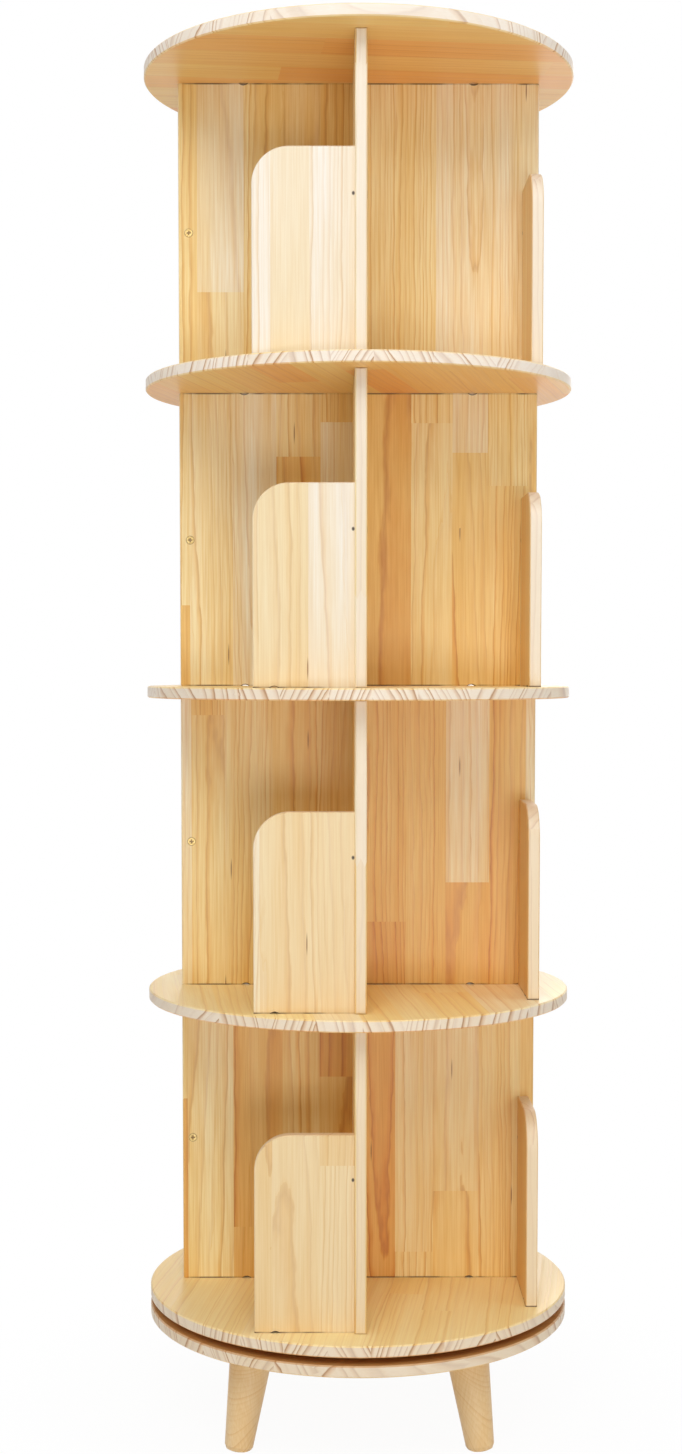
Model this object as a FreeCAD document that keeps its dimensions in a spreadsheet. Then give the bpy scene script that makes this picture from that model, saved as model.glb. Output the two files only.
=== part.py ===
import FreeCAD, Part
import math
import os
import re
import Sketcher

# Revolving bookcase: a fixed round base on four splayed legs, a ball-bearing turntable,
# and a turning stack of round shelves on crossed upright boards with a pinwheel of stop boards.
# Frame: +Z up, origin on the floor under the turning axis, -Y is the front. Lengths in millimetres.

TIER_COUNT = 4
WING_COUNT = 4
BALL_COUNT = 12

SIZES = [
    ("total_height", 1430.0, "floor to the top of the top board"),
    # Round boards
    ("disc_diameter", 450.0, "diameter of every round board"),
    ("disc_thickness", 12.0, "thickness of every round board"),
    ("disc_edge", 1.3, "chamfer that eases the rim of a round board"),
    # Upright boards
    ("upright_margin", 35.0, "outer end of an upright, in from the rim"),
    ("panel_thickness", 12.0, "thickness of an upright board"),
    ("panel_edge_round", 2.0, "rounded edges of an upright's outer end"),
    # Stop boards
    ("stop_width", 100.0, "width of a stop board"),
    ("stop_height", 200.0, "height of a stop board"),
    ("stop_thickness", 12.0, "thickness of a stop board"),
    ("stop_corner", 36.0, "radius of the free top corner"),
    ("stop_edge", 1.0, "chamfer that eases the edges of a stop board"),
    ("stop_inset", 5.0, "stop board's face in from the upright's outer end"),
    # Mouths of the dowel holes, which break the faces of the boards at their ends
    ("mouth_width", 8.0, "mouth along the board's end"),
    ("mouth_depth", 1.5, "mouth up the board's face"),
    ("upright_dowel_setback", 69.0, "dowel of an upright, in from its outer end"),
    ("stop_dowel_setback", 21.0, "dowel under a stop board, in from its free end"),
    # Legs
    ("leg_height", 110.0, "floor to the underside of the base board"),
    ("leg_top_diameter", 47.0, "leg under the base board"),
    ("leg_foot_diameter", 29.0, "leg at the floor"),
    ("leg_margin", 69.5, "leg's axis under the base board, in from the rim"),
    ("leg_splay", 11.0, "outward lean of a leg, in degrees"),
    ("leg_foot_round", 6.0, "rounding of the leg's foot"),
    ("leg_spare", 12.0, "length turned past the top of a leg before it is trimmed"),
    # Turntable bearing
    ("bearing_gap", 8.0, "gap between the base board and the turning deck"),
    ("plate_side", 200.0, "side of a square bearing plate"),
    ("plate_corner", 15.0, "corner radius of a bearing plate"),
    ("plate_sheet", 1.2, "sheet thickness of a bearing plate"),
    ("plate_hole", 4.5, "screw hole in each corner of a bearing plate"),
    ("plate_hole_setback", 12.0, "screw hole in from each side of the plate"),
    ("pivot_bore", 30.0, "bore of the lower plate's pivot tube"),
    ("pivot_clearance", 0.08, "radial clearance of the pivot tube in the upper plate"),
    ("pivot_rim", 5.0, "width of the pivot tube's rolled rim"),
    ("pivot_play", 0.3, "room above and below the rolled rim"),
    ("dish_diameter", 54.0, "dish of the upper plate round the rolled rim"),
    ("race_diameter", 150.0, "circle of the bearing balls"),
    ("ball_clearance", 0.1, "room between a ball and a bearing plate"),
    ("cage_rim", 7.0, "ball cage past the circle of the balls"),
    ("cage_sheet", 1.6, "thickness of the ball cage"),
    ("cage_clearance", 0.15, "room round a ball in its pocket, and round the dish in the cage"),
]

# The balls are drawn with flats, as octagons with chamfered ends: half a flat, as a share of the radius
BALL_FLAT_SHARE = math.tan(math.pi / 8)
# A leg's rounded foot is drawn in two steps: height and inset of the middle one, as a share of the radius
FOOT_STEP_SHARE = 1 - math.sqrt(0.5)
QUARTER_TURN = 90.0
FULL_TURN = 360.0
TOLERANCE_SHARE = 1e-4

ALIASES = {alias for alias, value, note in SIZES}
UP = FreeCAD.Vector(0, 0, 1)

doc = FreeCAD.newDocument("revolving_bookcase")
sheet = doc.addObject("Spreadsheet::Sheet", "sizes")
for row, (alias, value, note) in enumerate(SIZES, start=1):
    sheet.set(f"A{row}", note)
    sheet.set(f"B{row}", str(value))
    sheet.setAlias(f"B{row}", alias)
doc.recompute()

sub_parts = []


def sized(expression):
    """Point each size named in an expression at its cell in the sheet."""
    def cell(word):
        return f"sizes.{word.group()}" if word.group() in ALIASES else word.group()
    return re.sub(r"[a-z_]+", cell, expression)


def measure(expression):
    return float(sheet.evalExpression(sized(expression)))


def negative(expression):
    return "0" if expression == "0" else f"-({expression})"


def quarter_turns(x, y):
    """The four places that a point takes as it is turned round the axis in quarters."""
    places = []
    for quarter in range(WING_COUNT):
        places.append((x, y))
        x, y = negative(y), x
    return places


# Levels above the floor, and places that several pieces share
BASE_TOP = "(leg_height + disc_thickness)"
DECK_BOTTOM = "(leg_height + disc_thickness + bearing_gap)"
DECK_TOP = "(leg_height + 2 * disc_thickness + bearing_gap)"
BOARDS_AND_GAP = f"({TIER_COUNT + 2} * disc_thickness + bearing_gap)"
TIER_CLEAR = f"((total_height - leg_height - {BOARDS_AND_GAP}) / {TIER_COUNT})"
TIER_PITCH = f"({TIER_CLEAR} + disc_thickness)"
WING_REACH = "(disc_diameter / 2 - upright_margin)"
HALF_WIDTH = f"({WING_REACH} - panel_thickness / 2)"
MOUTH_RADIUS = "((mouth_width ^ 2 / 4 + mouth_depth ^ 2) / (2 * mouth_depth))"
MOUTH_LIFT = f"({MOUTH_RADIUS} - mouth_depth)"
PLATE_HOLE_PLACE = "(plate_side / 2 - plate_hole_setback)"
BALL_RADIUS = "(bearing_gap / 2 - plate_sheet - ball_clearance)"


def tier_floor(tier):
    return f"({DECK_TOP} + {tier} * {TIER_PITCH})"


def new_body(label, z, turn=0.0, x="0", y="0"):
    """A sub-part's body, turned about the vertical and set at a place given in the sheet's sizes."""
    body = doc.addObject("PartDesign::Body", label)
    body.Label = label
    body.Placement = FreeCAD.Placement(FreeCAD.Vector(), FreeCAD.Rotation(UP, turn))
    for axis, length in (("x", x), ("y", y), ("z", z)):
        if length != "0":
            body.setExpression(f"Placement.Base.{axis}", sized(length))
    sub_parts.append(body)
    return body


def origin_feature(body, role):
    return next(feature for feature in body.Origin.OriginFeatures if feature.Role == role)


def new_sketch(body, name, plane, lift="0"):
    sketch = body.newObject("Sketcher::SketchObject", f"{body.Name}_{name}")
    sketch.AttachmentSupport = [(origin_feature(body, plane), "")]
    sketch.MapMode = "FlatFace"
    if lift != "0":
        sketch.setExpression("AttachmentOffset.Base.z", sized(lift))
    return sketch


def hold_point(sketch, geometry, point, x, y):
    """Tie a point of a sketch to its two lengths from the sketch's origin."""
    for kind, axis, length in (("DistanceX", -2, x), ("DistanceY", -1, y)):
        if length == "0":
            sketch.addConstraint(Sketcher.Constraint("PointOnObject", geometry, point, axis))
        else:
            tie = Sketcher.Constraint(kind, -1, 1, geometry, point, measure(length))
            index = sketch.addConstraint(tie)
            sketch.setExpression(f"Constraints[{index}]", sized(length))


def draw_outline(sketch, corners):
    """A closed outline of straight sides through corners given as pairs of expressions."""
    first = sketch.GeometryCount
    points = [FreeCAD.Vector(measure(x), measure(y), 0) for x, y in corners]
    count = len(corners)
    for side in range(count):
        sketch.addGeometry(Part.LineSegment(points[side], points[(side + 1) % count]), False)
    for side in range(count):
        following = first + (side + 1) % count
        sketch.addConstraint(Sketcher.Constraint("Coincident", first + side, 2, following, 1))
    for side, (x, y) in enumerate(corners):
        hold_point(sketch, first + side, 1, x, y)


def draw_rectangle(sketch, left, low, right, high):
    draw_outline(sketch, [(left, low), (right, low), (right, high), (left, high)])


def draw_circles(sketch, places, diameter):
    for x, y in places:
        centre = FreeCAD.Vector(measure(x), measure(y), 0)
        circle = sketch.addGeometry(Part.Circle(centre, UP, measure(diameter) / 2), False)
        hold_point(sketch, circle, 3, x, y)
        index = sketch.addConstraint(Sketcher.Constraint("Diameter", circle, measure(diameter)))
        sketch.setExpression(f"Constraints[{index}]", sized(diameter))


def check_cut(body, volume, name):
    if not body.Shape.Volume < volume:
        raise RuntimeError(f"{body.Label}: {name} removes nothing")


def pad(body, sketch, length, symmetric=False, reverse=False):
    feature = body.newObject("PartDesign::Pad", f"{sketch.Name}_pad")
    feature.Profile = sketch
    feature.setExpression("Length", sized(length))
    feature.SideType = "Symmetric" if symmetric else "One side"
    feature.Reversed = reverse
    doc.recompute()
    return feature


def pocket(body, sketch):
    """Cut a sketch right through a body, both ways from the sketch."""
    volume = body.Shape.Volume
    feature = body.newObject("PartDesign::Pocket", f"{sketch.Name}_pocket")
    feature.Profile = sketch
    feature.SideType = "Symmetric"
    feature.Type = "ThroughAll"
    doc.recompute()
    check_cut(body, volume, sketch.Name)
    return feature


def revolve(body, sketch, axis, groove=False):
    """Turn a sketch round one of its own lines or axes, to add to a body or to cut it."""
    volume = body.Shape.Volume if groove else 0
    kind = "PartDesign::Groove" if groove else "PartDesign::Revolution"
    feature = body.newObject(kind, f"{sketch.Name}_turned")
    feature.Profile = sketch
    feature.ReferenceAxis = (sketch, [axis])
    feature.Angle = FULL_TURN
    doc.recompute()
    if groove:
        check_cut(body, volume, sketch.Name)
    return feature


def ease_edges(body, size, wanted, kind="Fillet"):
    """Round or chamfer the edges of a body that a test picks out by where they lie."""
    base = body.Tip
    names = [f"Edge{index}" for index, edge in enumerate(base.Shape.Edges, start=1) if wanted(edge)]
    feature = body.newObject(f"PartDesign::{kind}", f"{base.Name}_eased")
    feature.Base = (base, names)
    feature.setExpression("Size" if kind == "Chamfer" else "Radius", sized(size))
    doc.recompute()
    return feature


def repeat_round(body, feature, count):
    """Repeat a feature round the vertical axis."""
    ring = body.newObject("PartDesign::PolarPattern", f"{feature.Name}_ring")
    ring.Originals = [feature]
    ring.Axis = (origin_feature(body, "Z_Axis"), [""])
    ring.Angle = FULL_TURN
    ring.Occurrences = count
    body.Tip = ring
    doc.recompute()
    return ring


def lies_at(edge, axis, expression):
    """Whether an edge lies whole at one coordinate along an axis, 'x', 'y' or 'z'."""
    place = measure(expression)
    near = measure("disc_diameter") * TOLERANCE_SHARE
    box = edge.BoundBox
    low = getattr(box, f"{axis.upper()}Min")
    high = getattr(box, f"{axis.upper()}Max")
    return abs(low - place) < near and abs(high - place) < near


# Round boards

def make_disc(label, z):
    """A round board with an eased rim, lying on its own z = 0."""
    body = new_body(label, z)
    outline = new_sketch(body, "outline", "XY_Plane")
    draw_circles(outline, [("0", "0")], "disc_diameter")
    pad(body, outline, "disc_thickness")
    ease_edges(body, "disc_edge", lambda edge: edge.Curve.TypeId == "Part::GeomCircle", "Chamfer")


def make_discs():
    """The fixed base, the turning deck just above it, then the shelves and the top."""
    make_disc("base_board", "leg_height")
    make_disc("deck_board", DECK_BOTTOM)
    for shelf in range(1, TIER_COUNT):
        make_disc(f"shelf_board_{shelf}", f"({tier_floor(shelf)} - disc_thickness)")
    make_disc("top_board", f"({tier_floor(TIER_COUNT)} - disc_thickness)")


# Upright boards

def cut_mouths(body, places):
    """Dowel mouths in the ends of a board: shallow round scoops right across its thickness."""
    mouths = new_sketch(body, "mouths", "XZ_Plane")
    draw_circles(mouths, places, f"(2 * {MOUTH_RADIUS})")
    pocket(body, mouths)


def both_ends(along):
    """Centres of the scoops in the bottom and top ends of an upright, a length along it."""
    return [(along, negative(MOUTH_LIFT)), (along, f"({TIER_CLEAR} + {MOUTH_LIFT})")]


def make_full_panel(tier):
    """The upright that runs right across a tier, along X."""
    body = new_body(f"full_panel_{tier + 1}", tier_floor(tier))
    outline = new_sketch(body, "outline", "XZ_Plane")
    draw_rectangle(outline, negative(WING_REACH), "0", WING_REACH, TIER_CLEAR)
    pad(body, outline, "panel_thickness", symmetric=True)
    ease_edges(body, "panel_edge_round",
               lambda edge: lies_at(edge, "x", WING_REACH) or lies_at(edge, "x", negative(WING_REACH)))
    dowel = f"({WING_REACH} - upright_dowel_setback)"
    cut_mouths(body, both_ends(dowel) + both_ends(negative(dowel)))


def make_half_panel(tier, side, turn, y):
    """An upright that butts on the full panel and runs out along its own +X."""
    body = new_body(f"{side}_half_panel_{tier + 1}", tier_floor(tier), turn, y=y)
    outline = new_sketch(body, "outline", "XZ_Plane")
    draw_rectangle(outline, "0", "0", HALF_WIDTH, TIER_CLEAR)
    pad(body, outline, "panel_thickness", symmetric=True)
    ease_edges(body, "panel_edge_round", lambda edge: lies_at(edge, "x", HALF_WIDTH))
    cut_mouths(body, both_ends(f"({HALF_WIDTH} - upright_dowel_setback)"))


# Stop boards

def make_stop(tier, side, turn, x, y):
    """A short board from an upright's face along its own +X, with a rounded free top corner."""
    body = new_body(f"{side}_stop_{tier + 1}", tier_floor(tier), turn, x, y)
    outline = new_sketch(body, "outline", "XZ_Plane")
    draw_rectangle(outline, "0", "0", "stop_width", "stop_height")
    pad(body, outline, "stop_thickness", reverse=True)
    ease_edges(body, "stop_corner",
               lambda edge: lies_at(edge, "x", "stop_width") and lies_at(edge, "z", "stop_height"))

    def on_free_outline(edge):
        on_face = lies_at(edge, "y", "0") or lies_at(edge, "y", "stop_thickness")
        return on_face and not lies_at(edge, "x", "0") and not lies_at(edge, "z", "0")

    ease_edges(body, "stop_edge", on_free_outline, "Chamfer")
    cut_mouths(body, [("(stop_width - stop_dowel_setback)", negative(MOUTH_LIFT))])


def make_tiers():
    """Four tiers, each with its crossed uprights and a pinwheel of four stop boards."""
    inner_face = f"({WING_REACH} - stop_inset - stop_thickness)"
    stop_places = quarter_turns("-panel_thickness / 2", negative(inner_face))
    for tier in range(TIER_COUNT):
        make_full_panel(tier)
        make_half_panel(tier, "front", -QUARTER_TURN, "-panel_thickness / 2")
        make_half_panel(tier, "back", QUARTER_TURN, "panel_thickness / 2")
        for quarter, side in enumerate(("front", "right", "back", "left")):
            x, y = stop_places[quarter]
            make_stop(tier, side, (quarter + 2) * QUARTER_TURN, x, y)


# Legs

def make_leg(label, turn):
    """A turned taper with a rounded foot, on a leaning axis, trimmed level at the floor and at its top."""
    lean = "(leg_splay * 1 deg)"
    top_reach = "(disc_diameter / 2 - leg_margin)"
    foot_reach = f"({top_reach} + leg_height * tan({lean}))"
    axis_length = f"(leg_height / cos({lean}))"
    slope = f"((leg_top_diameter - leg_foot_diameter) / 2 / {axis_length})"

    def on_leg(along, inset):
        """A point of the leg's outline, a length up its axis and in from its taper."""
        out = f"(leg_foot_diameter / 2 + {along} * {slope} - {inset})"
        return along_and_out(along, out)

    def along_and_out(along, out):
        x = f"({foot_reach} - {along} * sin({lean}) + {out} * cos({lean}))"
        return x, f"({along} * cos({lean}) + {out} * sin({lean}))"

    # The turned end lies whole below the floor, so that trimming leaves one level flat
    low = f"(-(leg_foot_diameter - leg_foot_round) / 2 * tan({lean}))"
    step = f"(leg_foot_round * {FOOT_STEP_SHARE})"
    high = f"({axis_length} + leg_spare)"
    body = new_body(label, "0", turn)
    profile = new_sketch(body, "profile", "XZ_Plane")
    draw_outline(profile, [
        along_and_out(low, "0"),
        on_leg(low, "leg_foot_round"),
        on_leg(f"({low} + {step})", step),
        on_leg(f"({low} + leg_foot_round)", "0"),
        on_leg(high, "0"),
        along_and_out(high, "0"),
    ])
    revolve(body, profile, "Edge6")
    trims = new_sketch(body, "trims", "XZ_Plane")
    wide = "leg_top_diameter"
    draw_rectangle(trims, f"({foot_reach} - {wide})", f"-{wide}", f"({foot_reach} + {wide})", "0")
    draw_rectangle(trims, f"({top_reach} - {wide})", "leg_height",
                   f"({top_reach} + {wide})", f"(leg_height + {wide})")
    pocket(body, trims)


def make_legs():
    for quarter, side in enumerate(("back_right", "back_left", "front_left", "front_right")):
        make_leg(f"leg_{side}", (quarter + 0.5) * QUARTER_TURN)


# Turntable bearing, measured up from the base board's top face

def square_plate(label, low, centre_hole):
    """A square sheet with round corners, a screw hole in each, and a round hole in its middle."""
    body = new_body(label, BASE_TOP)
    outline = new_sketch(body, "outline", "XY_Plane", low)
    half = "plate_side / 2"
    draw_rectangle(outline, f"-{half}", f"-{half}", half, half)
    pad(body, outline, "plate_sheet")
    ease_edges(body, "plate_corner", lambda edge: edge.BoundBox.ZLength > 0)
    holes = new_sketch(body, "holes", "XY_Plane", low)
    draw_circles(holes, [("0", "0")], centre_hole)
    draw_circles(holes, quarter_turns(PLATE_HOLE_PLACE, PLATE_HOLE_PLACE), "plate_hole")
    pocket(body, holes)
    return body


def make_bearing_plates():
    """Pressed plates held together by the lower one's pivot tube, rolled over the upper one's dish."""
    tube_in = "pivot_bore / 2"
    tube_out = "(pivot_bore / 2 + plate_sheet)"
    rim_top = "(bearing_gap - pivot_play)"
    rim_low = f"({rim_top} - plate_sheet)"
    rim_out = f"({tube_out} + pivot_rim)"
    lower = square_plate("lower_bearing_plate", "0", "pivot_bore")
    tube = new_sketch(lower, "pivot_tube", "XZ_Plane")
    draw_outline(tube, [
        (tube_in, "0"),
        (tube_out, "0"),
        (tube_out, rim_low),
        (rim_out, rim_low),
        (rim_out, rim_top),
        (tube_in, rim_top),
    ])
    revolve(lower, tube, "V_Axis")

    dish_out = "dish_diameter / 2"
    dish_in = "(dish_diameter / 2 - plate_sheet)"
    dish_top = f"({rim_low} - pivot_play)"
    dish_low = f"({dish_top} - plate_sheet)"
    flange_low = "(bearing_gap - plate_sheet)"
    upper = square_plate("upper_bearing_plate", flange_low, "(dish_diameter - 2 * plate_sheet)")
    bore = f"({tube_out} + pivot_clearance)"
    dish = new_sketch(upper, "dish", "XZ_Plane")
    draw_outline(dish, [
        (bore, dish_low),
        (dish_out, dish_low),
        (dish_out, "bearing_gap"),
        (dish_in, "bearing_gap"),
        (dish_in, dish_top),
        (bore, dish_top),
    ])
    revolve(upper, dish, "V_Axis")


def draw_octagon(sketch, radius):
    """A ball's outline: an octagon on the circle of the balls, with its sides a radius from its middle."""
    flat = f"({radius} * {BALL_FLAT_SHARE})"
    corners = []
    for pair in zip(quarter_turns(radius, flat), quarter_turns(flat, radius)):
        corners += [(f"(race_diameter / 2 + {x})", y) for x, y in pair]
    draw_outline(sketch, corners)


def make_ball_ring():
    """The balls and the flat cage that keeps them apart; both turn at half the deck's speed."""
    middle = "(bearing_gap / 2)"
    cage = new_body("ball_cage", BASE_TOP)
    ring = new_sketch(cage, "ring", "XY_Plane", middle)
    draw_circles(ring, [("0", "0")], "(race_diameter + 2 * cage_rim)")
    draw_circles(ring, [("0", "0")], "(dish_diameter + 2 * cage_clearance)")
    pad(cage, ring, "cage_sheet", symmetric=True)
    first_pocket = new_sketch(cage, "pocket", "XY_Plane", middle)
    draw_octagon(first_pocket, f"({BALL_RADIUS} + cage_clearance)")
    repeat_round(cage, pocket(cage, first_pocket), BALL_COUNT)

    balls = new_body("bearing_balls", BASE_TOP)
    first_ball = new_sketch(balls, "ball", "XY_Plane", middle)
    draw_octagon(first_ball, BALL_RADIUS)
    repeat_round(balls, pad(balls, first_ball, f"(2 * {BALL_RADIUS})", symmetric=True), BALL_COUNT)
    ends = (f"({middle} - {BALL_RADIUS})", f"({middle} + {BALL_RADIUS})")
    ease_edges(balls, f"({BALL_RADIUS} * {1 - BALL_FLAT_SHARE})",
               lambda edge: any(lies_at(edge, "z", end) for end in ends), "Chamfer")


def check_and_write():
    """Stop on any failed object or bad solid, then write one file per sub-part."""
    doc.recompute()
    for item in doc.Objects:
        if "Invalid" in item.State or "Error" in item.State:
            raise RuntimeError(f"{item.Label} failed: {item.State}")
    for body in sub_parts:
        if body.Shape.isNull() or not body.Shape.isValid() or not body.Shape.Solids:
            raise RuntimeError(f"{body.Label} has no valid solid")
    os.makedirs("parts", exist_ok=True)
    for body in sub_parts:
        body.Shape.exportStep(f"parts/{body.Label}.step")
    print(f"{len(sub_parts)} sub-parts, {sum(len(body.Shape.Solids) for body in sub_parts)} solids")


make_discs()
make_legs()
make_bearing_plates()
make_ball_ring()
make_tiers()
check_and_write()
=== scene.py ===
# %% [markdown]
# # A revolving bookcase in pale pine
# The real piece is a stack of round pine boards, held apart by crossed uprights and turning on a ball
# bearing above a fixed base with four legs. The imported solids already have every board, leg and plate in
# its place, so this lesson doesn't model them again: it gives each one its wood or metal, adds the screws
# that a maker drives in at the end, and then lights the whole thing as in a plain white studio.

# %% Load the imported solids
import math

import bmesh
import bpy
from mathutils import Matrix, Vector


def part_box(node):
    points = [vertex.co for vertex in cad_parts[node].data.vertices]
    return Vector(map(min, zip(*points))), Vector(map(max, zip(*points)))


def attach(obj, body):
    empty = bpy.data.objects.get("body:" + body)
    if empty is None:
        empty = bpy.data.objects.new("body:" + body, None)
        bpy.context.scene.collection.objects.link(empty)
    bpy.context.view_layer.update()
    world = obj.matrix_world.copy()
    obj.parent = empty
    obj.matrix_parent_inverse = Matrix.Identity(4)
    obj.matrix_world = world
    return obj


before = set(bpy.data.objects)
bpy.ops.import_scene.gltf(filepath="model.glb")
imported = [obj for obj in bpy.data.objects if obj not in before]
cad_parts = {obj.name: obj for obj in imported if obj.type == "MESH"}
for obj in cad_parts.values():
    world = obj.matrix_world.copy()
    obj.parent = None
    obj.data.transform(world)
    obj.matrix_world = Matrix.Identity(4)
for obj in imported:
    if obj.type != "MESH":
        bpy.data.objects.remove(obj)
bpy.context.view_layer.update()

# %% [markdown]
# ## Measure the stack
# The grain, the marks and the screws all follow the stack: how far one shelf lies above the next, how tall
# the uprights between them are, and how far out the stops stand. These lengths are measured on the solids
# and not typed in, so the finishes keep their places if a board changes. Finishes are written in
# millimetres, which is what a maker reads off the rule.

# %% Levels of the stack
MM = 1000.0                  # millimetres in a metre


def to_mm(metres):
    """A length in millimetres, without the stray last digits of a mesh's short numbers."""
    return round(metres * MM, 3)


tiers = sum(node.startswith("full_panel_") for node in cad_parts)
deck_low, deck_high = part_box("deck_board")
stack_start, tier_floor = to_mm(deck_low.z), to_mm(deck_high.z)
tier_pitch = to_mm(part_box("shelf_board_1")[1].z - deck_high.z)
upright_low, upright_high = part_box("full_panel_1")
upright_height = to_mm(upright_high.z - upright_low.z)
stop_low, stop_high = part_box("front_stop_1")
stop_setback = to_mm(-(stop_low.y + stop_high.y) / 2)
leg_height = to_mm(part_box("leg_front_right")[1].z)
print(tiers, "tiers of", tier_pitch, "mm from", tier_floor, "mm up, uprights", upright_height,
      "mm, stops", stop_setback, "mm out, legs", leg_height, "mm")

# %% [markdown]
# ## Helpers for every finish
# Colours are easiest to judge as the hex values that a colour picker shows, but a shader works in linear
# light, so one function converts them. The second one adds a shader node: what it is given for a socket is
# either a plain value or the output of another node, which it links. The third starts a material. With
# these, a finish reads from top to bottom like a recipe.

# %% Colour and node helpers
def linear(hex_colour):
    """The linear red, green, blue and alpha of an sRGB hex colour."""
    channels = [int(hex_colour[i:i + 2], 16) / 255 for i in (1, 3, 5)]
    return [c / 12.92 if c <= 0.04045 else ((c + 0.055) / 1.055) ** 2.4 for c in channels] + [1.0]


def add_node(tree, kind, sockets, stops=(), **settings):
    """Adds one shader node with its settings and sockets, and a colour ramp's stops, its two ends first."""
    node = tree.nodes.new("ShaderNode" + kind)
    for name, value in settings.items():
        setattr(node, name, value)
    for socket, value in sockets.items():
        if isinstance(value, bpy.types.NodeSocket):
            tree.links.new(value, node.inputs[socket])
        else:
            node.inputs[socket].default_value = value
    for number, (position, colour) in enumerate(stops):
        ramp = node.color_ramp.elements
        stop = ramp[number] if number < 2 else ramp.new(position)
        stop.position = position
        stop.color = linear(colour)
    return node


def new_finish(name):
    """A material with an empty node tree, and its Object coordinates in metres."""
    finish = bpy.data.materials.new(name)
    finish.use_nodes = True
    finish.node_tree.nodes.clear()
    place = add_node(finish.node_tree, "TexCoord", {}).outputs["Object"]
    return finish, finish.node_tree, place


print("helpers ready, mid grey is", round(linear("#808080")[0], 3))

# %% [markdown]
# ## Pine, from the inside out
# Sawn pine shows the yearly rings of the tree: pale, soft early wood that darkens slowly to a narrow line
# of late wood and then breaks off sharply. The figure on a board comes by itself from where the pith, the
# middle of the trunk, lies: straight lines far from it, tall arches near it, and short slanted bars on end
# grain. That is why the rings are drawn in the solid, from the distance to the pith, and not painted on
# each face. The whole part of that distance in rings is the year and the rest of it is the season. No two
# years are alike, so each has its own width and its own depth of colour.

# %% Yearly rings
SEASON_REACH = 20.0          # mm of trunk over which good and poor years follow each other
SEASON_SWING = 2.4           # rings that a run of poor years falls behind
FAINTEST_YEAR = 0.1          # share of its late wood that the faintest year shows; the boldest shows all
# Shades through one year, from its first wood to its last, on faces and on end grain.
FACE_LATE = [(0.0, "#F4E2BE"), (1.0, "#EBD2A2"), (0.07, "#FFFFFF"), (0.5, "#FEFAF0"), (0.82, "#F0D49E"),
             (0.93, "#D2A25E")]
END_LATE = [(0.0, "#EFE2D2"), (1.0, "#E6D3C0"), (0.08, "#FFFFFF"), (0.5, "#FFFDFA"), (0.78, "#EAD6C2"),
            (0.92, "#BC9678")]


def yearly_rings(tree, trunk, ring_width, figure, on_face=1.0):
    """Shade of the late wood, how strongly it shows, and the season; trunk: place from the pith in mm."""
    radius = add_node(tree, "VectorMath", {0: trunk}, operation="LENGTH").outputs["Value"]
    luck = add_node(tree, "TexNoise", {"W": radius, "Scale": 1 / SEASON_REACH, "Detail": 2.0},
                    noise_dimensions="1D").outputs["Fac"]
    years = add_node(tree, "Math", {0: radius, 1: 1 / ring_width}, operation="MULTIPLY").outputs[0]
    age = add_node(tree, "Math", {0: luck, 1: SEASON_SWING, 2: years}, operation="MULTIPLY_ADD").outputs[0]
    season = add_node(tree, "Math", {0: age}, operation="FRACT").outputs[0]
    year = add_node(tree, "Math", {0: age}, operation="FLOOR").outputs[0]
    vigour = add_node(tree, "TexWhiteNoise", {"W": year}, noise_dimensions="1D").outputs["Value"]
    boldness = add_node(tree, "MapRange", {"Value": vigour, 3: FAINTEST_YEAR, 4: 1.0}).outputs[0]
    shown = add_node(tree, "Math", {0: boldness, 1: figure}, operation="MULTIPLY").outputs[0]
    along_grain = add_node(tree, "ValToRGB", {"Fac": season}, FACE_LATE).outputs["Color"]
    across_grain = add_node(tree, "ValToRGB", {"Fac": season}, END_LATE).outputs["Color"]
    late_wood = add_node(tree, "Mix", {0: on_face, 6: across_grain, 7: along_grain},
                         data_type="RGBA").outputs[2]
    return late_wood, shown, season


print("good and poor years follow each other over", SEASON_REACH, "mm of trunk")

# %% [markdown]
# ## Sanded and lacquered
# Between the rings there are fibres, finer than a hair, and soft clouds of shade that run along the board.
# Both are noise that is stretched along the grain. The boards were sanded smooth and given a thin satin
# lacquer, which to the eye is a soft, wide highlight and a figure that seems to lie just under the surface.
# Late wood is harder than early wood, so sanding leaves it a trace higher and glossier.

# %% Fibres and satin lacquer
CLOUD_WIDTH, CLOUD_LENGTH, CLOUD_SHADE = 18.0, 330.0, "#F8E8C4"      # mm
FIBRE_WIDTH, FIBRE_LENGTH, FIBRE_SHADE = 1.4, 70.0, "#F2E5CC"        # mm; coarser than real ones, to show
SHADED_BELOW, CLEAR_ABOVE = 0.3, 0.7     # noise below which a streak has its full shade, and above which none
FIBRE_RELIEF = 0.5                       # height of a fibre beside that of a ring
RELIEF_SHARE, RELIEF_HEIGHT = 0.06, 0.4  # how much of the relief the lacquer leaves, and its height in mm
EARLY_ROUGHNESS, LATE_ROUGHNESS = 0.54, 0.42
PINE_IOR, LACQUER, LACQUER_ROUGHNESS = 1.5, 0.12, 0.3    # a thin coat, so little of its shine


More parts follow.
